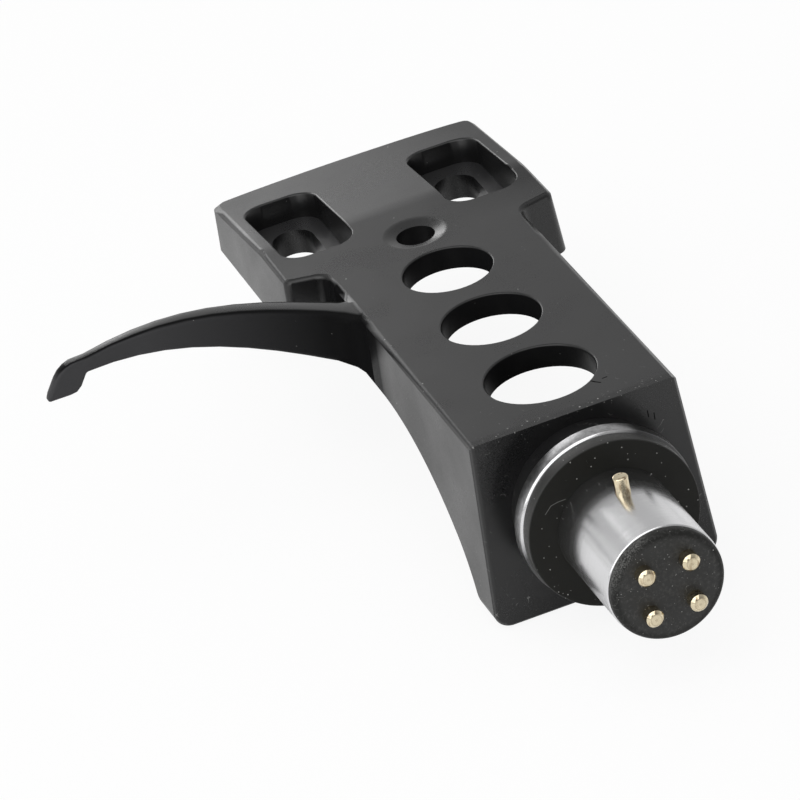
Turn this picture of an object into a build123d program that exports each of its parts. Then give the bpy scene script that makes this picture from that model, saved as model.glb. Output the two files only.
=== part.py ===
"""Turntable headshell: a die-cast shell with its finger lift, and a turned bayonet connector.

Millimetres. +Y points to the cartridge end, +Z up, and the connector points to -Y.
The origin is on the connector's axis, in the plane where the arm's collet meets the washer.
"""
import os
from math import copysign, cos, radians, sin, tan

from build123d import *

os.makedirs("parts", exist_ok=True)

# Connector, along its axis from the tip to the shell
barrel_radius = 4.0
barrel_length = 8.8
barrel_bore_radius = 3.3
barrel_edge_chamfer = 0.1
washer_outer_radius = 6.05
washer_thickness = 1.05
washer_edge_chamfer = 0.08
washer_clearance = 0.03
flange_radius = 6.2
flange_thickness = 1.2
flange_chamfer = 0.22
spigot_radius = 4.6
spigot_overhang = 0.5
spigot_clearance = 0.01

# Insulator plug, its contacts, and the pin that locks the connector in the arm
plug_head_radius = 3.92
plug_head_stand_off = 0.72
plug_edge_radius = 0.42
plug_edge_softening = 0.2
plug_clearance = 0.02
contact_radius = 0.62
contact_tip_chamfer = 0.2
contact_stand_off = 0.9
contact_offset = 1.54
contact_tail_radius = 0.45
contact_tail_length = 3.6
locating_pin_radius = 0.53
locating_pin_height = 1.25
locating_pin_place = 3.3
locating_pin_chamfer = 0.1

# Shell: the block behind the connector, the neck, and the head
boss_radius = 5.6
boss_height = 2.15
plate_height = 6.45
plate_thickness = 1.7
wall_thickness = 1.5
block_depth = 7.7
foot_length = 2.9
rear_wall_thickness = 3.5
draft = 3.3
neck_half_width = 7.4
head_side_margin = 1.15
shoulder_place = 34.0
shoulder_slant = 0.8
head_length = 19.2
front_bow = 0.55
bend_place = 40.6
bend_radius = 14.0
head_slope = 6.5
seat_height = 1.65

# Shell: the underside's curve, from the cartridge seat down to the foot of the block
underside_curve_place = 24.0
underside_radius = 21.5
underside_turn = 39.0

# Shell: edges
foot_corner_radius = 1.25
outer_edge_chamfer = 0.32
inner_corner_radius = 1.1
ear_corner_radius = 0.65
front_corner_radius = 0.9
hole_rim_chamfer = 0.15
recess_rim_chamfer = 0.15

# Shell: openings
hole_places = (10.68, 20.1, 28.87)
hole_radii = (3.8, 3.46, 3.17)
screw_hole_place = 35.63
screw_hole_radius = 1.4
screw_dish_radius = 2.4
screw_dish_angle = 150
channel_end = 37.2
channel_corner_radius = 1.5
throat_half_width = 2.8
throat_end = 39.6
throat_corner_radius = 2.0
slot_spacing = 12.7
slot_centre = 43.5
slot_width = 3.1
slot_length = 8.3
recess_width = 5.4
recess_length = 11.6
recess_corner_radius = 1.7
ledge_thickness = 1.9

# Finger lift, from the neck's left wall out to the tip that turns down
lift_front = 30.1
lift_reach = 18.82
lift_rise = 2.72
lift_arch = 108.0
lift_sweep = 1.5
lift_top_drop = 0.05
lift_root_width = 3.3
lift_root_height = 4.4
lift_root_flare = 1.3
lift_tip_width = 1.1
lift_tip_height = 1.15
lift_width_taper = 1.2
lift_height_taper = 1.11
lift_front_rounding = 0.42
lift_edge_rounding = 0.22
lift_corner_steps = 3
lip_turn = 57.0
lip_drop = 2.45
lip_lead = 0.58
lip_outer_radius = 2.25
lip_inner_radius = 0.3
lip_heel_radius = 0.45
lip_toe_radius = 0.2

# Places that follow from the sizes above
flange_back = washer_thickness + flange_thickness
rear_face = flange_back + boss_height
rear_wall_front = rear_face + rear_wall_thickness
spigot_end = rear_wall_front + spigot_overhang
plug_tip = -barrel_length - plug_head_stand_off
shoulder_end = shoulder_place + shoulder_slant
front_place = shoulder_place + head_length
ledge_height = seat_height + ledge_thickness
head_half_width = (slot_spacing + recess_width) / 2 + head_side_margin
ceiling_height = plate_height - plate_thickness
channel_half_width = neck_half_width - wall_thickness
past = 2.0
near = 0.01


def corners_at(vertices, x, y):
    """The outline's corners at this place, on both sides of the middle."""
    return vertices.filter_by(lambda v: abs(abs(v.X) - x) < near and abs(v.Y - y) < near)


def outer_edges(faces):
    """The edges that only one of these faces has."""
    edges = [edge for face in faces for edge in face.edges()]
    return ShapeList(edge for edge in edges if sum(edge.is_same(other) for other in edges) == 1)


def lift_section(part_way, flare=0.0, sink=0.0):
    """Plane, width and height of the lift, this part of the way from the neck to where its lip begins."""
    height = lift_tip_height + (lift_root_height - lift_tip_height) * (1 - part_way) ** lift_height_taper
    width = lift_tip_width + (lift_root_width - lift_tip_width) * (1 - part_way) ** lift_width_taper
    top = plate_height - lift_top_drop + lift_rise * sin(radians(lift_arch * part_way))
    middle = lift_front - width / 2 + lift_sweep * sin(radians(180 * part_way))
    flared_height = height + flare / 2
    place = (sink - neck_half_width - lift_reach * part_way, middle, top - flared_height / 2)
    return Plane(origin=place, x_dir=(0, 1, 0), z_dir=(1, 0, 0)), width + flare, flared_height


def lip_arc_point(start, radius, turn):
    """Where an arc that starts level at this point has turned down by this angle."""
    return start - Vector(radius * sin(radians(turn)), 0, radius * (1 - cos(radians(turn))))


def lip_side_point(arc_end, height, inset):
    """Where the lip's straight side is at this height, drawn in from its line."""
    down = arc_end.Z - height
    return arc_end - Vector(down / tan(radians(lip_turn)) + inset, 0, down)


def lip_section(part_way, above_end=None, rounding=0.0):
    """Plane, width and thickness of the lip, part of the way round its turn or this far above its end."""
    arm_end, width, height = lift_section(1)
    top = arm_end.origin + Vector(0, 0, height / 2)
    bottom = arm_end.origin - Vector(0, 0, height / 2)
    outer = lip_arc_point(top - Vector(lip_lead, 0, 0), lip_outer_radius, lip_turn * part_way)
    inner = lip_arc_point(bottom, lip_inner_radius, lip_turn * part_way)
    if above_end is not None:
        outer = lip_side_point(outer, top.Z - lip_drop + above_end, -lip_toe_radius * rounding)
        inner = lip_side_point(inner, top.Z - lip_drop + above_end, lip_heel_radius * rounding)
    across = inner - outer
    plane = Plane(origin=(outer + inner) / 2, x_dir=(0, 1, 0), z_dir=(-across.Z, 0, across.X))
    return plane, width - 2 * lip_toe_radius * rounding, across.length


def rounded_corner(x, y, radius, start_angle):
    """Points that round a corner of the lift's section, from this angle on and counter-clockwise."""
    middle_x, middle_y = x - copysign(radius, x), y - copysign(radius, y)
    angles = [radians(start_angle + 90 * step / lift_corner_steps) for step in range(lift_corner_steps + 1)]
    return [(middle_x + radius * cos(angle), middle_y + radius * sin(angle)) for angle in angles]


def rounded_section(width, height):
    """Corner points of the lift's section, drawn from its foot and rounder at its front top edge."""
    half_width, half_height = width / 2, height / 2
    edge_radius = lift_edge_rounding * min(width, height)
    front_radius = lift_front_rounding * min(width, height)
    points = rounded_corner(half_width, -half_height, edge_radius, -90)
    points += rounded_corner(half_width, half_height, front_radius, 0)
    points += rounded_corner(-half_width, half_height, edge_radius, 90)
    return points + rounded_corner(-half_width, -half_height, edge_radius, 180)


lift_sections = [lift_section(0, 2 * lift_root_flare, wall_thickness / 2)]
lift_sections += [lift_section(0, lift_root_flare), lift_section(0.04, 0.3 * lift_root_flare)]
lift_sections += [lift_section(tenths / 10) for tenths in range(1, 11)]
lift_sections += [lip_section(quarters / 4) for quarters in range(1, 5)]
lift_sections += [lip_section(1, lip_heel_radius), lip_section(1, 0.3 * lip_heel_radius, 0.3)]
lift_sections += [lip_section(1, 0, 1)]

with BuildPart() as shell:
    # Outline from above, flared downwards by the casting's draft
    with BuildSketch(Plane.XY.offset(plate_height)) as outline:
        with BuildLine():
            right_side = Polyline(
                (0, rear_face - past),
                (neck_half_width, rear_face - past),
                (neck_half_width, shoulder_place),
                (head_half_width, shoulder_end),
                (head_half_width, front_place - front_bow),
            )
            mirror(right_side, about=Plane.YZ)
            front_corner = right_side @ 1
            ThreePointArc(front_corner, (0, front_place), (-front_corner.X, front_corner.Y))
        make_face()
        fillet(corners_at(outline.vertices(), neck_half_width, shoulder_place), inner_corner_radius)
        fillet(corners_at(outline.vertices(), head_half_width, shoulder_end), ear_corner_radius)
        fillet(corners_at(outline.vertices(), head_half_width, front_corner.Y), front_corner_radius)
    extrude(amount=-(plate_height + block_depth), taper=-draft)

    # Outline from the side: level plate, sloping head, flat seat, curved underside and foot
    with BuildSketch(Plane.YZ):
        with BuildLine():
            bend_start = (bend_place - bend_radius * tan(radians(head_slope / 2)), plate_height)
            plate_line = Line((rear_face, plate_height), bend_start)
            bend = JernArc(plate_line @ 1, plate_line % 1, bend_radius, -head_slope)
            slope = PolarLine(bend @ 1, front_place + past - bend_place, -head_slope)
            front = Line(slope @ 1, ((slope @ 1).X, seat_height))
            seat = Line(front @ 1, (underside_curve_place, seat_height))
            curve = JernArc(seat @ 1, seat % 1, underside_radius, underside_turn)
            heel = TangentArc(curve @ 1, (rear_face + foot_length, -block_depth), tangent=curve % 1)
            Polyline(heel @ 1, (rear_face, -block_depth), plate_line @ 0)
        make_face()
    extrude(amount=head_half_width + past, both=True, mode=Mode.INTERSECT)

    # Rounded foot, and broken edges round the top and the rear face
    foot = shell.faces().sort_by(Axis.Z)[0]
    fillet(foot.edges().filter_by(Axis.Y, tolerance=draft), foot_corner_radius)
    top_faces = shell.faces().filter_by(lambda face: face.normal_at().Z > cos(radians(2 * head_slope)))
    rear = shell.faces().sort_by(Axis.Y)[0]
    chamfer(outer_edges(top_faces + [rear]), outer_edge_chamfer)

    # Round boss that the connector's flange seats on
    with BuildSketch(Plane.XZ.offset(-rear_face - past)):
        Circle(boss_radius)
    extrude(amount=boss_height + past)

    # Finger lift
    for section_plane, section_width, section_height in lift_sections:
        with BuildSketch(section_plane):
            with BuildLine():
                Polyline(rounded_section(section_width, section_height), close=True)
            make_face()
    loft(ruled=True)

    # Open channel under the neck, and the narrower throat that leads the wires to the cartridge
    with BuildSketch(Plane.XY.offset(ceiling_height)) as channel:
        with Locations((0, (rear_wall_front + channel_end) / 2)):
            Rectangle(2 * channel_half_width, channel_end - rear_wall_front)
        fillet(channel.vertices(), channel_corner_radius)
        with Locations((0, (rear_wall_front + throat_end) / 2)):
            Rectangle(2 * throat_half_width, throat_end - rear_wall_front)
        fillet(corners_at(channel.vertices(), throat_half_width, throat_end), throat_corner_radius)
    extrude(amount=-(ceiling_height + block_depth + past), taper=-draft, mode=Mode.SUBTRACT)

    # Bore for the connector's spigot, through the boss and the rear wall
    with BuildSketch(Plane.XZ.offset(-rear_wall_front - past)):
        Circle(spigot_radius + spigot_clearance)
    extrude(amount=rear_wall_front - flange_back + 2 * past, mode=Mode.SUBTRACT)

    # Lightening holes, and the tapped hole in its shallow dish
    for place, radius in zip(hole_places, hole_radii):
        with Locations((0, place, plate_height)):
            Hole(radius, depth=plate_thickness + past)
    with Locations((0, screw_hole_place, plate_height)):
        CounterSinkHole(screw_hole_radius, screw_dish_radius, plate_thickness + past, screw_dish_angle)

    # Cartridge slots, each through the floor of a larger recess
    with BuildSketch(Plane.XY.offset(ledge_height)):
        with GridLocations(slot_spacing, 0, 2, 1):
            with Locations((0, slot_centre)):
                RectangleRounded(recess_width, recess_length, recess_corner_radius)
    extrude(amount=plate_height - ledge_height + past, mode=Mode.SUBTRACT)
    recess_edges = shell.edges(Select.LAST).filter_by(Axis.Z, reverse=True)
    chamfer(recess_edges.filter_by(lambda edge: edge.center().Z > ledge_height + near), recess_rim_chamfer)
    with BuildSketch(Plane.XY.offset(ledge_height)):
        with GridLocations(slot_spacing, 0, 2, 1):
            with Locations((0, slot_centre)):
                SlotOverall(slot_length, slot_width, rotation=90)
    extrude(amount=-(ledge_thickness + past), mode=Mode.SUBTRACT)

    # Broken rims of the lightening holes
    circles = shell.edges().filter_by(GeomType.CIRCLE)
    rims = circles.filter_by(lambda edge: abs(edge.center().Z - plate_height) < near)
    hole_rims = rims.filter_by(lambda edge: min(abs(edge.radius - radius) for radius in hole_radii) < near)
    chamfer(hole_rims, hole_rim_chamfer)
shell.part.label = "shell"

with BuildPart() as connector_barrel:
    with BuildSketch(Plane.XY):
        with BuildLine():
            Polyline(
                (barrel_bore_radius, -barrel_length),
                (barrel_radius - barrel_edge_chamfer, -barrel_length),
                (barrel_radius, barrel_edge_chamfer - barrel_length),
                (barrel_radius, washer_thickness),
                (flange_radius - flange_chamfer, washer_thickness),
                (flange_radius, washer_thickness + flange_chamfer),
                (flange_radius, flange_back),
                (spigot_radius, flange_back),
                (spigot_radius, spigot_end),
                (barrel_bore_radius, spigot_end),
                close=True,
            )
        make_face()
    revolve(axis=Axis.Y)
    with Locations((0, -locating_pin_place, barrel_radius + past)):
        Hole(locating_pin_radius, depth=barrel_radius - barrel_bore_radius + 2 * past)
connector_barrel.part.label = "connector_barrel"

with BuildPart() as washer:
    with BuildSketch(Plane.XY) as washer_section:
        washer_inner_radius = barrel_radius + washer_clearance
        with Locations(((washer_inner_radius + washer_outer_radius) / 2, washer_thickness / 2)):
            Rectangle(washer_outer_radius - washer_inner_radius, washer_thickness)
        chamfer(washer_section.vertices().group_by(Axis.X)[-1], washer_edge_chamfer)
    revolve(axis=Axis.Y)
washer.part.label = "washer"

with BuildPart() as insulator_plug:
    with BuildSketch(Plane.XY) as plug_section:
        with BuildLine():
            Polyline(
                (0, plug_tip),
                (plug_head_radius, plug_tip),
                (plug_head_radius, -barrel_length),
                (barrel_bore_radius - plug_clearance, -barrel_length),
                (barrel_bore_radius - plug_clearance, spigot_end),
                (0, spigot_end),
                close=True,
            )
        make_face()
        chamfer(corners_at(plug_section.vertices(), plug_head_radius, plug_tip), plug_edge_radius)
        plug_face_radius = plug_head_radius - plug_edge_radius
        edge_corners = plug_section.vertices().filter_by(lambda v: v.X > plug_face_radius - near)
        chamfer(edge_corners.sort_by(Axis.Y)[:2], plug_edge_radius * plug_edge_softening)
    revolve(axis=Axis.Y)
    with BuildSketch(Plane.XZ.offset(-spigot_end)):
        with GridLocations(2 * contact_offset, 2 * contact_offset, 2, 2):
            Circle(contact_radius)
    extrude(amount=spigot_end - plug_tip, mode=Mode.SUBTRACT)
insulator_plug.part.label = "insulator_plug"

with BuildPart() as locating_pin:
    with BuildSketch(Plane.XY.offset(barrel_bore_radius)):
        with Locations((0, -locating_pin_place)):
            Circle(locating_pin_radius)
    extrude(amount=barrel_radius + locating_pin_height - barrel_bore_radius)
    chamfer(locating_pin.edges().group_by(Axis.Z)[-1], locating_pin_chamfer)
locating_pin.part.label = "locating_pin"

contacts = []
for row, height in (("upper", contact_offset), ("lower", -contact_offset)):
    for side, across in (("left", -contact_offset), ("right", contact_offset)):
        with BuildPart() as contact:
            with BuildSketch(Plane.XZ.offset(-spigot_end)):
                with Locations((across, height)):
                    Circle(contact_radius)
            extrude(amount=spigot_end - plug_tip + contact_stand_off)
            chamfer(contact.edges().group_by(Axis.Y)[0], contact_tip_chamfer)
            with BuildSketch(Plane.XZ.offset(-spigot_end - contact_tail_length)):
                with Locations((across, height)):
                    Circle(contact_tail_radius)
            extrude(amount=contact_tail_length)
        contact.part.label = f"contact_pin_{row}_{side}"
        contacts.append(contact)

for piece in [shell, connector_barrel, washer, insulator_plug, locating_pin] + contacts:
    export_step(piece.part, f"parts/{piece.part.label}.step")
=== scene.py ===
"""Finish of a turntable headshell: satin black casting, turned aluminium connector, rubber washer,
moulded insulator and gold-plated pins, on a plain pale stage."""

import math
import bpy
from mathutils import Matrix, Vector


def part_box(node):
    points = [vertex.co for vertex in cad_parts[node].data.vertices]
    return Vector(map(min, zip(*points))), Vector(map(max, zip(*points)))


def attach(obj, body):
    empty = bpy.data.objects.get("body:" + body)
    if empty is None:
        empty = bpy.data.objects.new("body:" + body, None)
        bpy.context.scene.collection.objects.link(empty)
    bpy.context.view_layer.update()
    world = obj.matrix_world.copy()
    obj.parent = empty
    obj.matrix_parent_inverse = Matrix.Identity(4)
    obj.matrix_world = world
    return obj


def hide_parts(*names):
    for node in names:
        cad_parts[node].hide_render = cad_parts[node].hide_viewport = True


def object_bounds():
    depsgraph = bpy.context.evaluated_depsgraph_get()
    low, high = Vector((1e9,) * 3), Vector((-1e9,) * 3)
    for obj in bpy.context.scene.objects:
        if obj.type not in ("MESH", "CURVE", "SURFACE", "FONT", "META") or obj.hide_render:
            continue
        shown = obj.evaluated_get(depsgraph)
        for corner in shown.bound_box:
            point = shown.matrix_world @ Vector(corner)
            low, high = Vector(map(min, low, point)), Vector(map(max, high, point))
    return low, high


bl_info = {
    "name": "Turntable Headshell Finish",
    "version": (1, 0, 0),
    "blender": (4, 5, 0),
    "location": "View3D > Sidebar > Headshell",
    "description": "Dresses a headshell in its paint, metals, rubber and plastic, and sets its stage",
    "category": "Object",
}

import bmesh
import bpy
from bpy.props import FloatProperty, FloatVectorProperty, IntProperty, PointerProperty
from mathutils import Matrix, Vector

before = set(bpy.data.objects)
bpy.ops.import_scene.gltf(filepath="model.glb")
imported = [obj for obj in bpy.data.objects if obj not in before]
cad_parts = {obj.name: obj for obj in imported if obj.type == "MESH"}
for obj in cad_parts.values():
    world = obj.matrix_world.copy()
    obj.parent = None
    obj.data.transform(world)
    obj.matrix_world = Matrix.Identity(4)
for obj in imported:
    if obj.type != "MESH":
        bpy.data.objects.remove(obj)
cad_low, cad_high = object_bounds()

# The script works in metres. Corners of a turned piece nearer to each other than this are one
MM = 0.001
NEAR = 0.001 * MM

barrel_low, barrel_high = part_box("connector_barrel")
washer_low, washer_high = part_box("washer")
plug_low, plug_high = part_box("insulator_plug")
pin_low, pin_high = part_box("locating_pin")
contact_low, contact_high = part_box("contact_pin_upper_right")

# The casting's mesh: doubles nearer than this are merged, and faces flatter than this joined
CASTING_MERGE = 0.0005 * MM
CASTING_FLAT = math.radians(0.3)

# Facets of the top's bend: smaller than this area, this level, and meeting a chamfer at this angle
BEND_FACET_AREA = 1.2 * MM * MM
BEND_LEVEL = 0.97
BEND_CREASE = math.radians(30)

# A turned piece's rings are rounded where its profile turns by more than this
RING_ANGLE = math.radians(30)

# Pins: the facets round each, and the angle past which a contact's edges stay sharp
CONTACT_STEPS = 48
CONTACT_CREASE = math.radians(28)
PIN_STEPS = 64

# Fine marks on the paint: each line's places, and its width in millimetres
NICKS = (
    (((2.38, 7.62, 6.45), (2.62, 7.20, 6.45), (2.90, 6.87, 6.45)), 0.075),
    (((3.22, 7.29, 6.45), (3.53, 7.31, 6.45)), 0.065),
    (((4.96, 4.4, 4.65), (4.97, 4.4, 4.18)), 0.045),
    (((5.38, 4.4, 4.34), (5.36, 4.4, 3.84)), 0.045),
)

# Fibre on the washer's face: its places and its width, in millimetres
FIBRE = ((-4.51, 0, 2.40), (-4.02, 0, 2.88), (-3.50, 0, 2.98), (-2.98, 0, 2.99))
FIBRE_WIDTH = 0.030

# Ways that a face may point, each as a span of one part of its direction
UPWARD = (0.8, 0.95)
TILTED = (0.9, 0.97)
SIDEWAYS = (0.55, 0.78)
UPRIGHT = (0.2, 0.6)
LEFTWARD = (-0.75, -0.45)
ENDWARD = (0.9, 0.97)

# Stretches of the casting along Y over which its paint, or the painted shade and painted reflection in its
# gloss, changes
REAR_EDGE_PAINTED_SHADE = (4.9 * MM, 5.25 * MM)
REAR_EDGE_CHIPPED = (5.0 * MM, 5.6 * MM)
REAR_EDGE_SCRATCHED = (7 * MM, 9 * MM)
HOLES_START = (5.0 * MM, 6.0 * MM)
FLANK_PAINTED_REFLECTION = (4 * MM, 18 * MM)
LIFT_START = (15 * MM, 17 * MM)
FLANK_CORNER = (21.2 * MM, 23.6 * MM)
NOTCH_START = (24.0 * MM, 25.5 * MM)
NOTCH_END = (32.2 * MM, 33.0 * MM)
LIFT_END = (30.4 * MM, 31.2 * MM)
HEAD_START = (34 * MM, 38 * MM)
RECESS_START = (34 * MM, 36 * MM)

# Stretches of the casting along X
LIFT_TIP = (-26 * MM, -24.5 * MM)
LIFT_SHADE = (-22 * MM, -10 * MM)
# The next stretch is where the finger lift's side is painted lighter, as a painted reflection
LIFT_PAINTED_REFLECTION = (-22 * MM, -9.5 * MM)
NECK_LEFT = (-9.6 * MM, -9.0 * MM)
HEAD_LEFT = (-9.5 * MM, -5 * MM)
HEAD_RIGHT = (1 * MM, 9 * MM)
LIFT_ROOT = (-8.5 * MM, -7.9 * MM)
NOTCH_WALL = (-7.15 * MM, -6.95 * MM)
HOLES_REACH = (4.2 * MM, 4.6 * MM)

# Heights on the casting
SEAT_TOP = (2.4 * MM, 2.8 * MM)
LEDGE_TOP = (4.0 * MM, 4.4 * MM)
PLATE_BOTTOM = (4.2 * MM, 4.8 * MM)
PLATE_EDGE = (6.0 * MM, 6.35 * MM)

# Depths below the outside of the turned and moulded pieces over which their finish changes
FLANGE_SIDE = (0.03 * MM, 0.01 * MM)
FLANGE_RING = (0.25 * MM, 0.2 * MM)
WASHER_RIM = (0.10 * MM, 0.01 * MM)
PLUG_RIM = (0.62 * MM, 0.30 * MM)

# Distances across the ends: the flange's upper left arc that is left out of its painted shade, the plug's
# rubbed corner, and a contact's pip and ring
FLANGE_LIT_ARC = (2.6 * MM, 4.0 * MM)
PLUG_CORNER = (4.3 * MM, 5.1 * MM)
CONTACT_PIP = (0.05 * MM, 0.14 * MM)
CONTACT_RING = (0.01 * MM, 0.045 * MM)

# Floor: how far it reaches each way, its gap under the model, and its colour
FLOOR_REACH = 2.0
FLOOR_GAP = 0.02 * MM
FLOOR_COLOUR = (0.93, 0.93, 0.93, 1)

# Surround: spans of Z and Y, in the direction that is seen, over which its brightness changes
SURROUND_HEIGHTS = (0.15, 0.5)
SURROUND_FRONT = (-0.8, 0.2)

# Camera: its sensor's width in millimetres, and the nearest distance that it sees
SENSOR_WIDTH = 36
NEAREST_SEEN = 0.01

# Soft square lamps: name, place, size and power
LAMPS = (
    ("lamp_top", (-0.08, -0.10, 0.42), 0.50, 1.0),
    ("lamp_left", (-0.36, -0.16, 0.24), 0.40, 0.6),
    ("lamp_behind", (-0.03, 0.42, 0.13), 0.17, 0.25),
)


# Values that a user would change

def length_value(name, description, default):
    """A size in metres."""
    return FloatProperty(name=name, description=description, unit="LENGTH", default=default)


def colour_value(name, description, default):
    """A colour."""
    return FloatVectorProperty(name=name, description=description, subtype="COLOR", default=default)


def share_value(name, description, default):
    """A number from 0 to 1."""
    return FloatProperty(name=name, description=description, min=0, max=1, default=default)


def angle_value(name, description, degrees):
    """An angle, given in degrees."""
    return FloatProperty(
        name=name, description=description, unit="ROTATION", default=math.radians(degrees))


class HeadshellFinishes(bpy.types.PropertyGroup):
    """Colours, roughness and gloss of the finishes."""

    paint: colour_value("Paint", "Colour of the casting's paint", (0.0085, 0.0085, 0.0088))
    paint_roughness: share_value("Paint roughness", "Roughness of the satin paint", 0.30)
    # Painted shade and painted highlight raise or lower the casting's gloss from this level in places
    paint_gloss: share_value("Paint gloss", "Specular level of the paint where nothing dulls it", 0.55)
    aluminium: colour_value("Aluminium", "Colour of the turned connector", (0.82, 0.82, 0.83))
    aluminium_roughness: share_value("Aluminium roughness", "Roughness between the lathe marks", 0.2)
    rubber: colour_value("Rubber", "Colour of the washer", (0.010, 0.010, 0.0085))
    plastic: colour_value("Plastic", "Colour of the insulator", (0.013, 0.013, 0.012))
    gold: colour_value("Gold", "Colour of the thin gold plate", (0.88, 0.77, 0.55))
    brass: colour_value("Brass", "Colour where the gold plate is thin", (0.30, 0.19, 0.10))
    dust: colour_value("Dust", "Colour of the specks of dust", (0.62, 0.62, 0.60))


class HeadshellSizes(bpy.types.PropertyGroup):
    """Sizes of the turned and moulded pieces that show."""

    barrel_radius: length_value("Barrel radius", "Outside radius of the connector's barrel", 4.0 * MM)
    barrel_chamfer: length_value("Barrel chamfer", "Chamfer at the barrel's open end", 0.1 * MM)
    bore_radius: length_value("Bore radius", "Inside radius of the connector's barrel", 3.3 * MM)
    flange_thickness: length_value("Flange thickness", "Thickness of the flange behind the washer", 1.2 * MM)
    flange_chamfer: length_value("Flange chamfer", "Width of the bright chamfer round the flange", 0.15 * MM)
    spigot_radius: length_value("Spigot radius", "Radius of the spigot inside the shell", 4.6 * MM)
    edge_rounding: length_value("Edge rounding", "Width of the softened edges of turned metal", 0.04 * MM)
    washer_gap: length_value("Washer gap", "Gap between the washer and the barrel", 0.005 * MM)
    washer_rounding: length_value("Washer rounding", "Radius of the washer's outer edges", 0.07 * MM)
    plug_gap: length_value("Plug gap", "Gap between the insulator and the bore", 0.02 * MM)
    plug_rounding: length_value("Plug rounding", "Radius of the insulator's outer edge", 0.42 * MM)
    contact_chamfer: length_value("Contact chamfer", "Chamfer round each contact's end", 0.2 * MM)
    contact_rounding: length_value("Contact rounding", "Softened edges of each contact", 0.02 * MM)
    contact_tail: length_value("Contact tail", "Radius of the tail of each contact", 0.45 * MM)
    contact_ring: length_value("Contact ring", "Radius of the dark ring on each contact's end", 0.375 * MM)
    contact_place: length_value(
        "Contact place", "Distance of each contact from the connector's axis, both ways",
        (contact_low.x + contact_high.x) / 2)
    pin_rounding: length_value("Pin rounding", "Radius of the locating pin's edge", 0.1 * MM)
    turning_steps: IntProperty(
        name="Turning steps", description="Facets round each turned piece", min=24, default=128)
    smooth_angle: angle_value(
        "Smooth angle", "Edges of the casting and the turned pieces flatter than this are shaded smooth", 52)


class HeadshellStage(bpy.types.PropertyGroup):
    """Camera and light."""

    azimuth: angle_value("Azimuth", "Camera's turn from looking along +Y", -13.582)
    elevation: angle_value("Elevation", "Camera's height above the horizon", 28.711)
    roll: angle_value("Roll", "Camera's roll", -12.641)
    distance: length_value("Distance", "Camera's distance from the origin", 350 * MM)
    aim: FloatVectorProperty(
        name="Aim", description="Camera's place across and up the picture", size=2, unit="LENGTH",
        default=(-14.094 * MM, 8.068 * MM))
    lens: FloatProperty(
        name="Lens", description="Focal length in millimetres, for a sensor 36 mm wide", default=240.345)
    floor_seen: share_value("Floor whiteness", "Share of plain white in the floor that the camera sees", 0.9)
    floor_mirrored: share_value(
        "Mirrored floor", "Share of plain white in the floor that reflections see", 0.12)
    surround: FloatProperty(
        name="Surround", description="Brightness of the surround near the horizon", default=1.0)
    surround_top: FloatProperty(
        name="Top surround", description="Brightness of the surround overhead", default=0.66)
    surround_front: share_value(
        "Front surround", "Share of the surround's brightness left behind the camera", 0.45)


# Shared ways of making

def mesh_from(bm, name):
    """The finished bmesh as a mesh."""
    mesh = bpy.data.meshes.new(name)
    bm.to_mesh(mesh)
    bm.free()
    return mesh


def add_piece(name, mesh, material, nodes):
    """Links a finished mesh as a piece that stands for these nodes of the model."""
    piece = bpy.data.objects.new(name, mesh)
    bpy.context.scene.collection.objects.link(piece)
    piece.data.materials.clear()
    piece.data.materials.append(material)
    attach(piece, "root")
    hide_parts(*nodes)
    return piece


def shade(bm, angle):
    """Smooth faces, with the edges steeper than this angle kept sharp."""
    for face in bm.faces:
        face.smooth = True
    for edge in bm.edges:
        edge.smooth = edge.calc_face_angle(0) < angle


def keep_bend_crisp(bm):
    """Keeps a chamfer sharp where it meets the narrow facets of the top's bend, which it would darken."""
    for edge in bm.edges:
        small = all(face.calc_area() < BEND_FACET_AREA for face in edge.link_faces)
        level = any(face.normal.z > BEND_LEVEL for face in edge.link_faces)
        if small and level and edge.calc_face_angle(0) > BEND_CREASE:
            edge.smooth = False


def even_shading(piece):
    """Lets the large faces set the shading, so that a narrow chamfer looks round."""
    weighted = piece.modifiers.new("Even shading", "WEIGHTED_NORMAL")
    weighted.mode = "FACE_AREA"
    weighted.weight = 50
    weighted.keep_sharp = True


def mark_facing(piece):
    """Keeps the way that each corner faces as an attribute, for the finishes that follow it."""
    shown = piece.evaluated_get(bpy.context.evaluated_depsgraph_get()).data
    facing = piece.data.attributes.new("facing", "FLOAT_VECTOR", "CORNER")
    facing.data.foreach_set("vector", [part for corner in shown.corner_normals for part in corner.vector])


def dress(name, bm, material, nodes):
    """Adds a finished solid as a piece, shaded evenly and marked with the way that it faces."""
    piece = add_piece(name, mesh_from(bm, name), material, nodes)
    even_shading(piece)
    mark_facing(piece)


def turn(profile, steps, axis_place=(0, 0, 0), axis=(0, 1, 0)):
    """A solid of revolution. The profile gives (radius, place along the axis) of each corner."""
    bm = bmesh.new()
    along = Vector(axis)
    out = Vector((1, 0, 0))
    start = Vector(axis_place)
    verts = [bm.verts.new(start + out * radius + along * place) for radius, place in profile]
    edges = [bm.edges.new(pair) for pair in zip(verts, verts[1:])]
    bmesh.ops.spin(
        bm, geom=verts + edges, cent=start, axis=along, angle=2 * math.pi, steps=steps, use_merge=True)
    bmesh.ops.remove_doubles(bm, verts=bm.verts, dist=NEAR)
    bmesh.ops.recalc_face_normals(bm, faces=bm.faces)
    return bm


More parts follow.
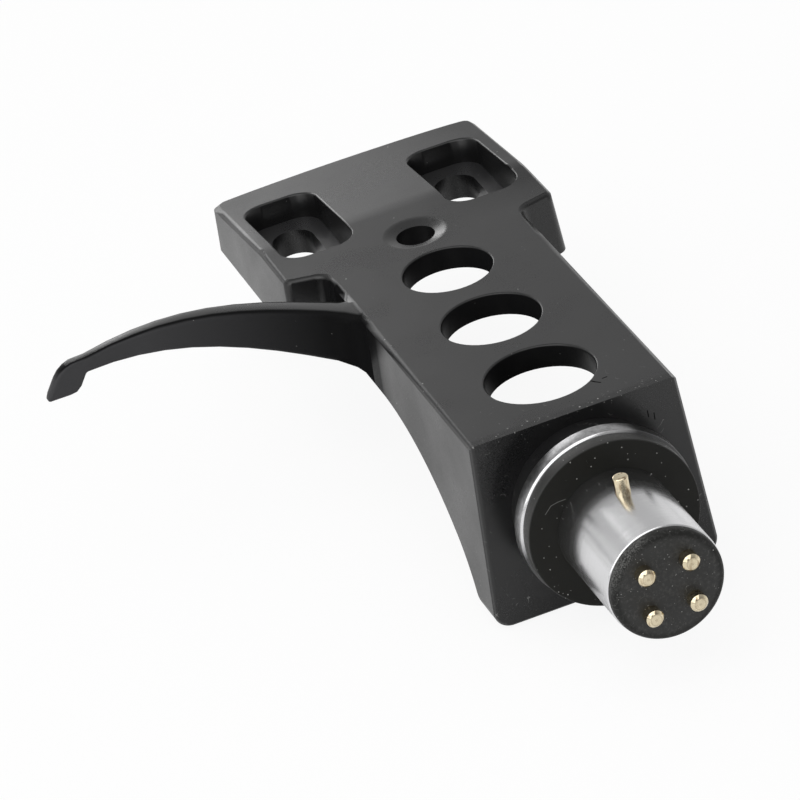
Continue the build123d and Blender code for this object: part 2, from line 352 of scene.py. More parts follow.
def round_rings(bm, width, segments, at=None):
    """Rounds the rings of a turned solid where its profile turns sharply.

    Given a radius and a place along the Y axis, it rounds that ring alone.
    """
    rings = [edge for edge in bm.edges if edge.is_manifold and edge.calc_face_angle(0) > RING_ANGLE]
    if at is not None:
        radius, place = at
        rings = [edge for edge in rings if all(
            abs(math.hypot(vert.co.x, vert.co.z) - radius) < NEAR and abs(vert.co.y - place) < NEAR
            for vert in edge.verts)]
    bmesh.ops.bevel(
        bm, geom=rings, offset=width, offset_type="OFFSET", affect="EDGES", segments=segments,
        profile=0.5, material=-1, clamp_overlap=True)


# Materials

class Finish:
    """A node material with the textures that the finishes share, on Object coordinates and on the
    attribute that says which way the surface faces."""

    def __init__(self, name, roughness, metallic=0.0, specular=0.5):
        self.material = bpy.data.materials.new(name)
        self.material.use_nodes = True
        self.nodes = self.material.node_tree.nodes
        self.links = self.material.node_tree.links
        self.shader = self.nodes["Principled BSDF"]
        self.shader.inputs["Roughness"].default_value = roughness
        self.shader.inputs["Metallic"].default_value = metallic
        self.shader.inputs["Specular IOR Level"].default_value = specular
        self.place = self.nodes.new("ShaderNodeTexCoord").outputs["Object"]

    def math(self, operation, first, second=0.0, clamp=False):
        """One sum on two sockets or numbers."""
        node = self.nodes.new("ShaderNodeMath")
        node.operation = operation
        node.use_clamp = clamp
        for value, socket in ((first, node.inputs[0]), (second, node.inputs[1])):
            if isinstance(value, (int, float)):
                socket.default_value = value
            else:
                self.links.new(value, socket)
        return node.outputs[0]

    def vector(self, operation, first, second=(0, 0, 0), out="Vector"):
        """One sum on two vectors, each a socket or plain numbers."""
        node = self.nodes.new("ShaderNodeVectorMath")
        node.operation = operation
        for value, socket in ((first, node.inputs[0]), (second, node.inputs[1])):
            if hasattr(value, "is_linked"):
                self.links.new(value, socket)
            else:
                socket.default_value = value
        return node.outputs[out]

    def product(self, *values):
        """All of these multiplied."""
        result = values[0]
        for value in values[1:]:
            result = self.math("MULTIPLY", result, value)
        return result

    def greatest(self, *values):
        """The greatest of these."""
        result = values[0]
        for value in values[1:]:
            result = self.math("MAXIMUM", result, value)
        return result

    def total(self, *values):
        """All of these added up."""
        result = values[0]
        for value in values[1:]:
            result = self.math("ADD", result, value)
        return result

    def rise(self, value, span, most=1.0, least=0.0):
        """Least up to the span's start, most from its end on."""
        node = self.nodes.new("ShaderNodeMapRange")
        start, end = span
        node.inputs["From Min"].default_value = start
        node.inputs["From Max"].default_value = end
        node.inputs["To Min"].default_value = least
        node.inputs["To Max"].default_value = most
        self.links.new(value, node.inputs["Value"])
        return node.outputs["Result"]

    def fall(self, value, span, most=1.0, least=0.0):
        """Most up to the span's start, least from its end on."""
        return self.rise(value, span, least, most)

    def mix(self, amount, first, second):
        """Colour mixed from two colours, each a socket or a plain colour."""
        node = self.nodes.new("ShaderNodeMix")
        node.data_type = "RGBA"
        self.links.new(amount, node.inputs["Factor"])
        for value, socket in ((first, node.inputs[6]), (second, node.inputs[7])):
            if hasattr(value, "is_linked"):
                self.links.new(value, socket)
            else:
                socket.default_value = (*value, 1.0)
        return node.outputs[2]

    def parts(self, vector=None):
        """X, Y and Z of a vector, or of the place on the object."""
        split = self.nodes.new("ShaderNodeSeparateXYZ")
        self.links.new(vector or self.place, split.inputs[0])
        return split.outputs

    def facing(self):
        """X, Y and Z of the way that the surface faces."""
        node = self.nodes.new("ShaderNodeAttribute")
        node.attribute_name = "facing"
        return self.parts(node.outputs["Vector"])

    def across(self, x, z):
        """Length of these two parts across the connector's axis."""
        flat = self.nodes.new("ShaderNodeCombineXYZ")
        self.links.new(x, flat.inputs["X"])
        self.links.new(z, flat.inputs["Z"])
        return self.vector("LENGTH", flat.outputs[0], out="Value")

    def radius(self):
        """Distance from the connector's axis."""
        place = self.parts()
        return self.across(place["X"], place["Z"])

    def near_outside(self, outside, depths):
        """Rises from 0 to 1 over these depths below the outside radius."""
        deep, shallow = depths
        return self.rise(self.radius(), (outside - deep, outside - shallow))

    def noise(self, scale, detail=3.0, roughness=0.55, vector=None):
        """Cloudy noise, with its scale in turns per metre."""
        node = self.nodes.new("ShaderNodeTexNoise")
        node.inputs["Scale"].default_value = scale
        node.inputs["Detail"].default_value = detail
        node.inputs["Roughness"].default_value = roughness
        self.links.new(vector or self.place, node.inputs["Vector"])
        return node.outputs["Fac"]

    def stretched(self, scale, stretch):
        """Noise drawn out along each axis by these factors."""
        node = self.nodes.new("ShaderNodeMapping")
        node.inputs["Scale"].default_value = stretch
        self.links.new(self.place, node.inputs["Vector"])
        return self.noise(scale, 2.0, vector=node.outputs[0])

    def lines(self, scale, detail):
        """Lathe marks round the Y axis: rings on a cylinder and circles on its end faces."""
        node = self.nodes.new("ShaderNodeTexNoise")
        node.noise_dimensions = "1D"
        node.inputs["Scale"].default_value = scale
        node.inputs["Detail"].default_value = detail
        node.inputs["Roughness"].default_value = 0.7
        self.links.new(self.total(self.radius(), self.parts()["Y"]), node.inputs["W"])
        return node.outputs["Fac"]

    def stroke(self, points, width):
        """A fine line of this width through these places, all in millimetres: 1 on it and 0 off it."""
        lines = []
        for start, end in zip(points, points[1:]):
            start, end = Vector(start) * MM, Vector(end) * MM
            run = end - start
            off = self.vector("SUBTRACT", self.place, start)
            along = self.vector("DOT_PRODUCT", off, run, "Value")
            reach = self.nodes.new("ShaderNodeVectorMath")
            reach.operation = "SCALE"
            reach.inputs[0].default_value = run
            self.links.new(self.math("DIVIDE", along, run.length_squared, clamp=True), reach.inputs["Scale"])
            gap = self.vector("DISTANCE", off, reach.outputs["Vector"], "Value")
            lines.append(self.fall(gap, (width * MM / 2, width * MM)))
        return self.greatest(*lines)

    def hairs(self, scale, width, share):
        """Fine bent scratches: pieces of the contour lines of a noise, over this share of the surface."""
        contour = self.math("ABSOLUTE", self.math("SUBTRACT", self.noise(scale, 1.0), 0.5))
        line = self.math("LESS_THAN", contour, width)
        patch = self.rise(self.noise(scale * 1.7, 1.0), (0.62 - share, 0.66 - share))
        return self.product(line, patch)

    def specks(self, scale, size, share):
        """Specks scattered over the surface: this share of the cells of a cell texture holds one."""
        cells = self.nodes.new("ShaderNodeTexVoronoi")
        cells.inputs["Scale"].default_value = scale
        self.links.new(self.place, cells.inputs["Vector"])
        split = self.nodes.new("ShaderNodeSeparateColor")
        self.links.new(cells.outputs["Color"], split.inputs[0])
        chosen = self.math("LESS_THAN", split.outputs[0], share)
        dot = self.math("LESS_THAN", cells.outputs["Distance"], self.product(split.outputs[1], size))
        return self.product(chosen, dot, self.rise(split.outputs[2], (0.0, 1.0), least=0.25))

    def colour(self, socket):
        self.links.new(socket, self.shader.inputs["Base Color"])

    def rough(self, socket):
        self.links.new(socket, self.shader.inputs["Roughness"])

    def gloss(self, socket):
        self.links.new(socket, self.shader.inputs["Specular IOR Level"])

    def bump(self, heights):
        """Stacked bumps, each a height socket with its depth in millimetres and its strength."""
        normal = None
        for socket, depth, strength in heights:
            node = self.nodes.new("ShaderNodeBump")
            node.inputs["Distance"].default_value = depth * MM
            node.inputs["Strength"].default_value = strength
            self.links.new(socket, node.inputs["Height"])
            if normal is not None:
                self.links.new(normal, node.inputs["Normal"])
            normal = node.outputs["Normal"]
        self.links.new(normal, self.shader.inputs["Normal"])


def scaled(tint, factor):
    """The colour, made darker or lighter by this factor."""
    return tuple(channel * factor for channel in tint)


def lift_side(finish, place, facing):
    """1 on the finger lift's side faces and 0 elsewhere."""
    along = finish.product(finish.rise(place["Y"], LIFT_START), finish.fall(place["Y"], LIFT_END))
    return finish.product(finish.fall(facing["Z"], SIDEWAYS), finish.fall(place["X"], LIFT_ROOT), along)


def recess_floor(finish, place, facing):
    """1 on the floors of the recesses round the cartridge slots and 0 elsewhere."""
    height = finish.product(finish.rise(place["Z"], SEAT_TOP), finish.fall(place["Z"], LEDGE_TOP))
    return finish.product(height, finish.rise(place["Y"], RECESS_START), finish.rise(facing["Z"], UPWARD))


def notch(finish, place, facing):
    """How far painted shade dulls the paint's gloss in the notch between the finger lift and the head."""
    along = finish.product(finish.rise(place["Y"], NOTCH_START, 0.97), finish.fall(place["Y"], NOTCH_END))
    return finish.product(finish.fall(facing["Z"], TILTED), finish.fall(place["X"], NOTCH_WALL), along)


def hole_walls(finish, place, facing):
    """How far painted shade dulls the paint's gloss on the walls of the lightening holes."""
    upright = finish.fall(finish.math("ABSOLUTE", facing["Z"]), UPRIGHT)
    inside = finish.fall(finish.math("ABSOLUTE", place["X"]), HOLES_REACH)
    in_plate = finish.rise(place["Z"], PLATE_BOTTOM, 0.92)
    return finish.product(upright, inside, in_plate, finish.rise(place["Y"], HOLES_START))


def paint_gloss(finish, level, place, facing, side, floors):
    """Gloss of the paint, with painted shade that thins it in the corners, the notch, the holes, along the
    finger lift, by the rear edge and on the head's sides, and painted highlight that raises it on the open
    flanks, the head's left side and the recess floors.
    """
    head = finish.rise(place["Y"], HEAD_START)
    upward = finish.rise(facing["Z"], UPWARD)
    leftward = finish.fall(facing["X"], LEFTWARD)
    flank = finish.product(leftward, finish.rise(place["X"], NECK_LEFT))
    # Painted sheen on the head top: its gloss is taken away towards both sides
    head_sides_shade = finish.total(
        finish.rise(place["X"], HEAD_RIGHT, 0.55), finish.fall(place["X"], HEAD_LEFT, 0.2))
    # Painted shade: gloss taken away on the head top's sides, along the finger lift towards its root, at the
    # lift's tip, on the flank by the lift, in the notch, on the hole walls and along the rear edge
    painted_shade = finish.greatest(
        finish.product(head, upward, head_sides_shade),
        finish.product(side, finish.rise(place["X"], LIFT_SHADE, 0.95, 0.36)),
        finish.fall(place["X"], LIFT_TIP, 0.6),
        finish.product(flank, finish.rise(place["Y"], FLANK_CORNER, 0.85)),
        notch(finish, place, facing),
        hole_walls(finish, place, facing),
        finish.product(upward, finish.fall(place["Y"], REAR_EDGE_PAINTED_SHADE, 0.25)),
    )
    # Painted highlight and painted reflection: gloss added on the open flank towards the rear, on the head's
    # left side and on the recess floors
    bright = finish.total(
        finish.product(flank, finish.fall(place["Y"], FLANK_PAINTED_REFLECTION, 0.55, -0.12)),
        finish.product(leftward, head, 0.35),
        finish.product(floors, 0.5),
    )
    return finish.product(finish.total(finish.math("SUBTRACT", 1.0, painted_shade), bright), level)


def satin_paint(finishes):
    """Satin black paint on a casting: fine orange peel, grain, faint handling marks, scratches and dust, a
    painted reflection lightening the finger lift's side, a painted highlight on the recess floors, and
    painted shade and highlight in its gloss.
    """
    finish = Finish("satin_black_paint", finishes.paint_roughness)
    paint = finishes.paint
    cloud = finish.noise(160, 2.0)
    grain = finish.noise(9000, 2.0, 0.7)
    peel = finish.noise(2600, 2.0, 0.5)
    place, facing = finish.parts(), finish.facing()
    side = lift_side(finish, place, facing)
    floors = recess_floor(finish, place, facing)
    dust = finish.greatest(finish.specks(1700, 0.10, 0.16), finish.specks(3300, 0.12, 0.10))
    nicks = finish.greatest(*(finish.stroke(points, width) for points, width in NICKS))

    # Painted reflection: the finger lift's side is painted lighter, fading towards its root, and the recess
    # floors get a painted highlight
    lift_painted_reflection = finish.product(side, finish.fall(place["X"], LIFT_PAINTED_REFLECTION))
    painted_light_share = finish.greatest(lift_painted_reflection, finish.product(floors, 0.3))
    clouded = finish.mix(cloud, scaled(paint, 0.85), scaled(paint, 1.15))
    base = finish.mix(painted_light_share, clouded, scaled(paint, 7))
    edge = finish.product(finish.fall(place["Y"], REAR_EDGE_CHIPPED), finish.rise(place["Z"], PLATE_EDGE))
    chipped = finish.product(finish.specks(4200, 0.33, 0.45), edge, 0.5)
    near_rear = finish.fall(place["Y"], REAR_EDGE_SCRATCHED, 0.22)
    scratched = finish.product(finish.hairs(700, 0.003, 0.0), near_rear)
    worn = finish.mix(finish.greatest(scratched, chipped), base, finishes.dust)
    strewn = finish.mix(finish.product(dust, 0.55), worn, finishes.dust)
    finish.colour(finish.mix(nicks, strewn, scaled(paint, 0.1)))

    roughness = finishes.paint_roughness
    handled = finish.rise(cloud, (0.35, 0.65), roughness + 0.06, roughness - 0.04)
    finish.rough(finish.total(handled, finish.rise(grain, (0.3, 0.7), 0.05, -0.03)))
    # Gloss with its painted shade and painted highlight
    gloss = paint_gloss(finish, finishes.paint_gloss, place, facing, side, floors)
    finish.gloss(finish.product(gloss, finish.math("SUBTRACT", 1.0, nicks)))
    finish.bump(((peel, 0.006, 0.35), (grain, 0.003, 0.5), (dust, 0.02, 0.6)))
    return finish.material


def turned_aluminium(finishes):
    """Satin aluminium with fine lathe marks, faint cloudiness, a few pits and dust, and painted shade on the
    flange's chamfer and side except at their upper left, where the side is darker in patches.
    """
    finish = Finish("turned_aluminium", finishes.aluminium_roughness, metallic=1.0)
    aluminium = finishes.aluminium
    fine = finish.lines(16000, 3.0)
    coarse = finish.lines(2600, 5.0)
    cloud = finish.rise(finish.noise(420, 2.0), (0.35, 0.7))
    tone = finish.mix(cloud, aluminium, scaled(aluminium, 0.95))
    marked = finish.mix(finish.rise(fine, (0.35, 0.65), 0.22), tone, scaled(aluminium, 0.5))
    pitted = finish.mix(finish.specks(2600, 0.10, 0.10), marked, scaled(aluminium, 0.35))

    # The flange's chamfer and side carry painted shade all round except on their upper left, and its side is
    # also darker in patches
    side = finish.near_outside(barrel_high.x, FLANGE_SIDE)
    side_patches = finish.rise(finish.noise(2600, 4.0, 0.65), (0.3, 0.7), 0.75, 0.42)
    place = finish.parts()
    upper_left = finish.math("SUBTRACT", finish.product(place["Z"], 0.82), finish.product(place["X"], 0.57))
    # Painted shade: the flange's chamfer and side are darkened except on the arc at their upper left
    flange_painted_shade = finish.fall(upper_left, FLANGE_LIT_ARC, 0.96)
    ring = finish.near_outside(barrel_high.x, FLANGE_RING)
    patches_and_painted_shade = finish.greatest(finish.product(side, side_patches), finish.product(ring, flange_painted_shade))
    shaded_and_patched = finish.mix(patches_and_painted_shade, pitted, scaled(aluminium, 0.08))
    finish.colour(finish.mix(finish.specks(3300, 0.12, 0.18), shaded_and_patched, finishes.dust))

    roughness = finishes.aluminium_roughness
    worked = finish.rise(coarse, (0.3, 0.7), roughness + 0.05, roughness - 0.04)
    finish.rough(finish.total(worked, finish.product(side, 0.12)))
    finish.bump(((coarse, 0.0008, 0.35), (fine, 0.0009, 0.6)))
    return finish.material


def black_rubber(finishes):
    """Smooth black rubber that has picked up dust and a fibre, greyer on its rim."""
    finish = Finish("black_rubber", 0.42, specular=0.16)
    grain = finish.noise(7000, 3.0, 0.7)
    dust = finish.greatest(finish.specks(1900, 0.12, 0.3), finish.specks(3600, 0.15, 0.45))
    fibre = finish.product(finish.stroke(FIBRE, FIBRE_WIDTH), 0.22)
    base = finish.mix(finish.noise(300, 3.0), scaled(finishes.rubber, 0.8), scaled(finishes.rubber, 1.4))
    # Greyer and glossier on the rim, all round
    rim = finish.near_outside(washer_high.x, WASHER_RIM)
    greyer_at_rim = finish.mix(finish.product(rim, 0.9), base, scaled(finishes.dust, 0.055))
    finish.colour(finish.mix(finish.greatest(dust, fibre), greyer_at_rim, finishes.dust))
    finish.gloss(finish.rise(rim, (0.0, 1.0), 0.3, 0.16))
    finish.rough(finish.rise(grain, (0.3, 0.7), 0.55, 0.34))
    finish.bump(((grain, 0.006, 0.5), (dust, 0.03, 0.6)))
    return finish.material


def moulded_plastic(finishes):
    """Matt moulded plastic, slightly grainy, with dust, fine scuffs and a dark smooth rim."""
    finish = Finish("moulded_black_plastic", 0.5)
    cloud = finish.noise(500, 4.0, 0.6)
    grain = finish.noise(5200, 4.0, 0.7)
    dust = finish.greatest(finish.specks(1900, 0.09, 0.4), finish.specks(4200, 0.15, 0.7))
    scuffs = finish.product(finish.hairs(900, 0.0016, 0.06), 0.3)
    mottle = finish.rise(grain, (0.5, 0.7), 0.05)
    base = finish.mix(cloud, scaled(finishes.plastic, 0.75), scaled(finishes.plastic, 1.35))

    # The rim is smooth, and rubbed to a frost at its upper left
    rim = finish.near_outside(plug_high.x, PLUG_RIM)
    place = finish.parts()
    corner = finish.math("SUBTRACT", place["Z"], place["X"])
    frost = finish.rise(finish.noise(11000, 2.0, 0.7), (0.45, 0.65), 0.2)
    frosted = finish.product(rim, finish.rise(corner, PLUG_CORNER), frost)
    marks = finish.greatest(finish.product(dust, 0.6), scuffs, mottle, frosted)
    finish.colour(finish.mix(marks, base, finishes.dust))
    finish.gloss(finish.fall(rim, (0.0, 1.0), 0.5, 0.22))
    finish.rough(finish.rise(cloud, (0.35, 0.65), 0.6, 0.42))
    finish.bump(((grain, 0.012, 0.55), (dust, 0.03, 0.6)))
    return finish.material


def gold_plate(finishes, sizes):
    """Thin gold plate over turned brass, browner where it is thin and on the flat ends."""
    finish = Finish("pale_gold_plate", 0.12, metallic=1.0)
    gold = finishes.gold
    cloud = finish.noise(1500, 3.0)
    streaks = finish.stretched(3200, (1.0, 1.0, 0.25))
    marks = finish.noise(9000, 3.0)
    plated = finish.mix(finish.rise(cloud, (0.35, 0.7)), gold, scaled(gold, 0.8))
    thin = finish.mix(finish.rise(streaks, (0.55, 0.68), 0.75), plated, finishes.brass)

    # Each flat end has a small dark pip in its middle and a dark ring near its edge
    flat = finish.rise(finish.math("ABSOLUTE", finish.facing()["Y"]), ENDWARD, 0.45)
    place = finish.parts()
    off_x, off_z = (
        finish.math("SUBTRACT", finish.math("ABSOLUTE", place[axis]), sizes.contact_place) for axis in "XZ")
    from_middle = finish.across(off_x, off_z)
    from_ring = finish.math("ABSOLUTE", finish.math("SUBTRACT", from_middle, sizes.contact_ring))
    pip = finish.product(finish.fall(from_middle, CONTACT_PIP, 0.6), flat)
    ring = finish.product(finish.fall(from_ring, CONTACT_RING, 0.7), flat)
    faced = finish.mix(flat, thin, scaled(gold, 0.72))
    finish.colour(finish.mix(finish.total(pip, ring), faced, scaled(finishes.brass, 0.6)))
    finish.rough(finish.total(finish.rise(marks, (0.3, 0.7), 0.2, 0.08), finish.product(flat, 0.25)))
    finish.bump(((cloud, 0.02, 0.4), (marks, 0.003, 0.4)))
    return finish.material


# Pieces

class HEADSHELL_OT_shell(bpy.types.Operator):
    """Shell casting with its finger lift, shaded smooth over its broken edges"""

    bl_idname = "headshell.shell"
    bl_label = "Shell"

    def execute(self, context):
        bm = bmesh.new()
        bm.from_mesh(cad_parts["shell"].data)
        bmesh.ops.remove_doubles(bm, verts=bm.verts, dist=CASTING_MERGE)
        bmesh.ops.dissolve_degenerate(bm, dist=CASTING_MERGE, edges=bm.edges)
        bmesh.ops.dissolve_limit(bm, angle_limit=CASTING_FLAT, verts=bm.verts, edges=bm.edges)
        shade(bm, context.scene.headshell_sizes.smooth_angle)
        keep_bend_crisp(bm)
        dress("shell_casting", bm, satin_paint(context.scene.headshell_finishes), ["shell"])
        return {"FINISHED"}


class HEADSHELL_OT_connector(bpy.types.Operator):
    """Turned connector: barrel, flange and spigot"""

    bl_idname = "headshell.connector"
    bl_label = "Connector"

    def execute(self, context):
        sizes = context.scene.headshell_sizes
        radius, bore, spigot = sizes.barrel_radius, sizes.bore_radius, sizes.spigot_radius
        flange, chamfer = barrel_high.x, sizes.flange_chamfer
        flange_back = washer_high.y + sizes.flange_thickness
        profile = (
            (bore, barrel_low.y),
            (radius - sizes.barrel_chamfer, barrel_low.y),
            (radius, barrel_low.y + sizes.barrel_chamfer),
            (radius, washer_high.y),
            (flange - chamfer, washer_high.y),
            (flange, washer_high.y + chamfer),
            (flange, flange_back),
            (spigot, flange_back),
            (spigot, barrel_high.y),
            (bore, barrel_high.y),
            (bore, barrel_low.y),
        )
        bm = turn(profile, sizes.turning_steps)
        round_rings(bm, sizes.edge_rounding, 3)
        shade(bm, sizes.smooth_angle)
        aluminium = turned_aluminium(context.scene.headshell_finishes)
        dress("turned_connector", bm, aluminium, ["connector_barrel"])
        return {"FINISHED"}


class HEADSHELL_OT_washer(bpy.types.Operator):
    """Rubber washer against the flange"""

    bl_idname = "headshell.washer"
    bl_label = "Washer"

    def execute(self, context):
        sizes = context.scene.headshell_sizes
        inner, outer = sizes.barrel_radius + sizes.washer_gap, washer_high.x
        profile = (
            (inner, washer_low.y),
            (outer, washer_low.y),
            (outer, washer_high.y),
            (inner, washer_high.y),
            (inner, washer_low.y),
        )
        bm = turn(profile, sizes.turning_steps)
        for place in (washer_low.y, washer_high.y):
            round_rings(bm, sizes.washer_rounding, 3, at=(outer, place))
        shade(bm, sizes.smooth_angle)
        dress("rubber_washer", bm, black_rubber(context.scene.headshell_finishes), ["washer"])
        return {"FINISHED"}


class HEADSHELL_OT_insulator(bpy.types.Operator):
    """Moulded insulator that holds the contacts in the barrel"""

    bl_idname = "headshell.insulator"
    bl_label = "Insulator"

    def execute(self, context):
        sizes = context.scene.headshell_sizes
        head, body = plug_high.x, sizes.bore_radius - sizes.plug_gap
        profile = (
            (0, plug_low.y),
            (head, plug_low.y),
            (head, barrel_low.y),
            (body, barrel_low.y),
            (body, plug_high.y),
            (0, plug_high.y),
        )
        bm = turn(profile, sizes.turning_steps)
        round_rings(bm, sizes.plug_rounding, 8, at=(head, plug_low.y))
        shade(bm, sizes.smooth_angle)
        dress("insulator", bm, moulded_plastic(context.scene.headshell_finishes), ["insulator_plug"])
        return {"FINISHED"}


class HEADSHELL_OT_pins(bpy.types.Operator):
    """Gold-plated contacts and the locating pin"""

    bl_idname = "headshell.pins"
    bl_label = "Contacts and locating pin"

    def execute(self, context):
        sizes = context.scene.headshell_sizes
        gold = gold_plate(context.scene.headshell_finishes, sizes)
        for name in sorted(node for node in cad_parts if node.startswith("contact_pin")):
            self.add_contact(name, sizes, gold)
        self.add_locating_pin(sizes, gold)
        return {"FINISHED"}

    def add_contact(self, name, sizes, gold):
        """One contact: its chamfered end in front of the insulator, and its thinner tail behind."""
        low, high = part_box(name)
        middle = (low + high) / 2
        radius, tail, chamfer = (high.x - low.x) / 2, sizes.contact_tail, sizes.contact_chamfer
        profile = (
            (0, low.y),
            (radius - chamfer, low.y),
            (radius, low.y + chamfer),
            (radius, plug_high.y),
            (tail, plug_high.y),
            (tail, high.y),
            (0, high.y),
        )
        bm = turn(profile, CONTACT_STEPS, (middle.x, 0, middle.z))
        round_rings(bm, sizes.contact_rounding, 2)
        shade(bm, CONTACT_CREASE)
        dress(name.replace("pin", "tip"), bm, gold, [name])

    def add_locating_pin(self, sizes, gold):
        """The upright pin that stands out of the barrel."""
        middle = (pin_low + pin_high) / 2
        radius = (pin_high.x - pin_low.x) / 2
        profile = (
            (0, pin_low.z),
            (radius, pin_low.z),
            (radius, pin_high.z),
            (0, pin_high.z),
        )
        bm = turn(profile, PIN_STEPS, (middle.x, middle.y, 0), (0, 0, 1))
        round_rings(bm, sizes.pin_rounding, 4)
        shade(bm, sizes.smooth_angle)
        dress("collet_pin", bm, gold, ["locating_pin"])


# Stage

def stage_floor(height, stage):
    """Pale floor: white to the camera apart from a faint shadow, plain to other light."""
    bm = bmesh.new()
    bmesh.ops.create_grid(
        bm, x_segments=1, y_segments=1, size=FLOOR_REACH, matrix=Matrix.Translation((0, 0, height)))
    floor = bpy.data.objects.new("floor", mesh_from(bm, "floor"))
    bpy.context.scene.collection.objects.link(floor)
    material = bpy.data.materials.new("pale_floor")
    material.use_nodes = True
    nodes, links = material.node_tree.nodes, material.node_tree.links
    nodes.clear()
    output = nodes.new("ShaderNodeOutputMaterial")
    blend = nodes.new("ShaderNodeMixShader")
    matt = nodes.new("ShaderNodeBsdfDiffuse")
    matt.inputs["Color"].default_value = FLOOR_COLOUR
    white = nodes.new("ShaderNodeEmission")
    ray = nodes.new("ShaderNodeLightPath")
    either = nodes.new("ShaderNodeMath")
    either.operation = "MAXIMUM"
    kinds = (("Is Camera Ray", stage.floor_seen), ("Is Glossy Ray", stage.floor_mirrored))
    for (kind, amount), socket in zip(kinds, either.inputs):
        part = nodes.new("ShaderNodeMath")
        part.operation = "MULTIPLY"
        part.inputs[1].default_value = amount
        links.new(ray.outputs[kind], part.inputs[0])
        links.new(part.outputs[0], socket)
    links.new(either.outputs[0], blend.inputs["Fac"])
    links.new(matt.outputs[0], blend.inputs[1])
    links.new(white.outputs[0], blend.inputs[2])
    links.new(blend.outputs[0], output.inputs["Surface"])
    floor.data.materials.append(material)


def surround_fade(nodes, links, value, span, start, end=1.0):
    """Fades from start to end over this span of a value."""
    fade = nodes.new("ShaderNodeMapRange")
    fade.inputs["From Min"].default_value = span[0]
    fade.inputs["From Max"].default_value = span[1]
    fade.inputs["To Min"].default_value = start
    fade.inputs["To Max"].default_value = end
    links.new(value, fade.inputs["Value"])
    return fade


def stage_surround(stage):
    """Surround, plain white to the camera, and brightest near the horizon for the reflections."""
    world = bpy.data.worlds.new("surround")
    bpy.context.scene.world = world
    world.use_nodes = True
    nodes, links = world.node_tree.nodes, world.node_tree.links
    nodes.clear()
    output = nodes.new("ShaderNodeOutputWorld")
    place = nodes.new("ShaderNodeTexCoord")
    split = nodes.new("ShaderNodeSeparateXYZ")
    links.new(place.outputs["Generated"], split.inputs[0])
    by_height = surround_fade(
        nodes, links, split.outputs["Z"], SURROUND_HEIGHTS, stage.surround, stage.surround_top)
    by_height.interpolation_type = "SMOOTHSTEP"
    by_front = surround_fade(nodes, links, split.outputs["Y"], SURROUND_FRONT, stage.surround_front)
    strength = nodes.new("ShaderNodeMath")
    strength.operation = "MULTIPLY"
    links.new(by_height.outputs["Result"], strength.inputs[0])
    links.new(by_front.outputs["Result"], strength.inputs[1])
    around = nodes.new("ShaderNodeBackground")
    links.new(strength.outputs[0], around.inputs["Strength"])
    white = nodes.new("ShaderNodeBackground")
    ray = nodes.new("ShaderNodeLightPath")
    blend = nodes.new("ShaderNodeMixShader")
    links.new(ray.outputs["Is Camera Ray"], blend.inputs["Fac"])
    links.new(around.outputs[0], blend.inputs[1])
    links.new(white.outputs[0], blend.inputs[2])
    links.new(blend.outputs[0], output.inputs["Surface"])


def stage_lamp(name, place, size, power):
    """Soft square lamp that faces the model's middle."""
    data = bpy.data.lights.new(name, "AREA")
    data.size = size
    data.energy = power
    lamp = bpy.data.objects.new(name, data)
    bpy.context.scene.collection.objects.link(lamp)
    lamp.location = place
    lamp.rotation_mode = "QUATERNION"
    aim = (cad_low + cad_high) / 2 - Vector(place)
    lamp.rotation_quaternion = aim.to_track_quat("-Z", "Y")


def stage_camera(stage):
    """Camera at the photograph's viewing angle."""
    azimuth, elevation, roll = stage.azimuth, stage.elevation, stage.roll
    level = math.cos(elevation)
    back = Vector((math.sin(azimuth) * level, -math.cos(azimuth) * level, math.sin(elevation)))
    right = Vector((math.cos(azimuth), math.sin(azimuth), 0))
    up = back.cross(right)
    across = math.cos(roll) * right + math.sin(roll) * up
    upward = math.cos(roll) * up - math.sin(roll) * right
    data = bpy.data.cameras.new("camera")
    data.sensor_width = SENSOR_WIDTH
    data.lens = stage.lens
    data.clip_start = NEAREST_SEEN
    camera = bpy.data.objects.new("camera", data)
    bpy.context.scene.collection.objects.link(camera)
    place = across * stage.aim[0] + upward * stage.aim[1] + back * stage.distance
    camera.matrix_world = Matrix.Translation(place) @ Matrix((across, upward, back)).transposed().to_4x4()
    bpy.context.scene.camera = camera


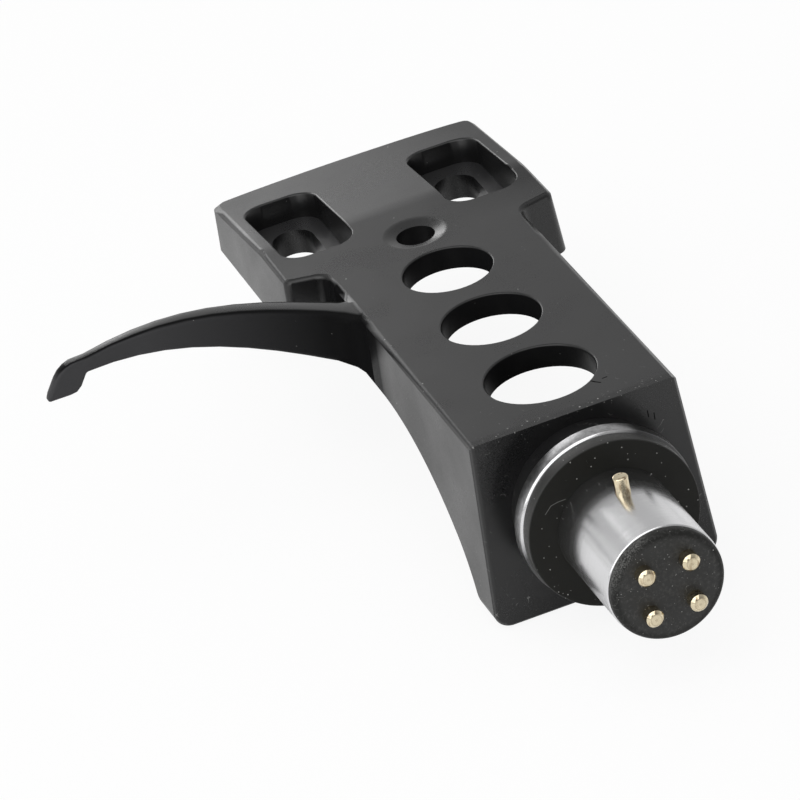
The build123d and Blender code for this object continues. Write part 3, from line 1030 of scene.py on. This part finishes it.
class HEADSHELL_OT_stage(bpy.types.Operator):
    """Pale floor, white surround, soft lamps and the camera"""

    bl_idname = "headshell.stage"
    bl_label = "Stage"

    def execute(self, context):
        stage = context.scene.headshell_stage
        stage_floor(cad_low.z - FLOOR_GAP, stage)
        stage_surround(stage)
        for lamp in LAMPS:
            stage_lamp(*lamp)
        stage_camera(stage)
        context.scene.view_settings.view_transform = "Standard"
        return {"FINISHED"}


class HEADSHELL_PT_pieces(bpy.types.Panel):
    """Lists the pieces and the values that shape them"""

    bl_idname = "HEADSHELL_PT_pieces"
    bl_label = "Headshell"
    bl_space_type = "VIEW_3D"
    bl_region_type = "UI"
    bl_category = "Headshell"

    def draw(self, context):
        scene = context.scene
        for operator in operators:
            self.layout.operator(operator.bl_idname, text=operator.bl_label)
        for group in (scene.headshell_sizes, scene.headshell_finishes, scene.headshell_stage):
            column = self.layout.column()
            for name in group.__annotations__:
                column.prop(group, name)


operators = (
    HEADSHELL_OT_shell,
    HEADSHELL_OT_connector,
    HEADSHELL_OT_washer,
    HEADSHELL_OT_insulator,
    HEADSHELL_OT_pins,
    HEADSHELL_OT_stage,
)
groups = (HeadshellFinishes, HeadshellSizes, HeadshellStage)


def register():
    for kind in (*groups, *operators, HEADSHELL_PT_pieces):
        bpy.utils.register_class(kind)
    bpy.types.Scene.headshell_finishes = PointerProperty(type=HeadshellFinishes)
    bpy.types.Scene.headshell_sizes = PointerProperty(type=HeadshellSizes)
    bpy.types.Scene.headshell_stage = PointerProperty(type=HeadshellStage)


def unregister():
    del bpy.types.Scene.headshell_stage
    del bpy.types.Scene.headshell_sizes
    del bpy.types.Scene.headshell_finishes
    for kind in reversed((*groups, *operators, HEADSHELL_PT_pieces)):
        bpy.utils.unregister_class(kind)


def main():
    register()
    bpy.ops.headshell.shell()
    bpy.ops.headshell.connector()
    bpy.ops.headshell.washer()
    bpy.ops.headshell.insulator()
    bpy.ops.headshell.pins()
    bpy.ops.headshell.stage()


if __name__ == "__main__":
    main()
